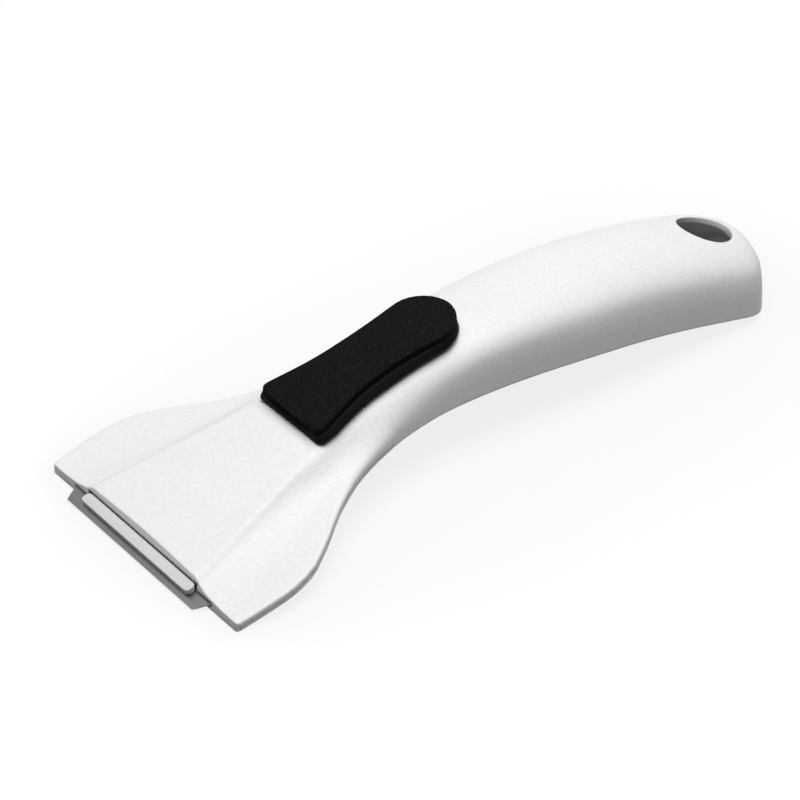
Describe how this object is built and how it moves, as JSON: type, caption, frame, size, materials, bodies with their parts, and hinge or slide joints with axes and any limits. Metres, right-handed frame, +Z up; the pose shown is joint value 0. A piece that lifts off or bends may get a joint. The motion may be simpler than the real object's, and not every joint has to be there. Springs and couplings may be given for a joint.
{
  "type": "hob scraper",
  "caption": "Hand scraper for glass hobs: a wide flat head with a steel blade, a thumb slider that slides the blade out and back, and an arched open-bottom handle with a hanging hole.",
  "frame": {"origin": "on the table plane that the scraper lies on, midway along its length and width", "axes": "+X across the blade, +Y from the blade towards the end of the handle, +Z up from the table"},
  "size_m": [0.06, 0.1464, 0.0247],
  "materials": {
    "white_plastic": "satin moulded white",
    "black_plastic": "smooth moulded black",
    "black_soft_plastic": "finely grained black",
    "blade_steel": "rolled steel with bright ground edges",
    "zinc_plated_steel": "bright zinc"
  },
  "bodies": {
    "body": {"top_housing": "white_plastic", "bottom_cover": "white_plastic", "cover_screw_left": "zinc_plated_steel", "cover_screw_right": "zinc_plated_steel", "cover_screw_rear": "zinc_plated_steel", "detent_spring": "blade_steel"},
    "carriage": {"blade_carrier": "white_plastic", "blade": "blade_steel", "blade_clamp": "blade_steel"},
    "slider": {"thumb_slider": "black_plastic", "thumb_pad": "black_soft_plastic", "slider_shoe": "black_plastic", "slider_screw": "zinc_plated_steel"}
  },
  "joints": [
    {"name": "blade_slide", "type": "slide", "parent": "body", "child": "carriage", "axis": [0, 0.9748, 0.2233], "range_m": [0, 0.007]},
    {"name": "thumb_swing", "type": "hinge", "parent": "body", "child": "slider", "pos_m": [0, 0.01781, -0.14205], "axis": [-1, 0, 0], "range_deg": [0, 2.51]}
  ],
  "couplings": [
    {"joint": "thumb_swing", "follows": "blade_slide", "rad_per_m": 6.22}
  ]
}
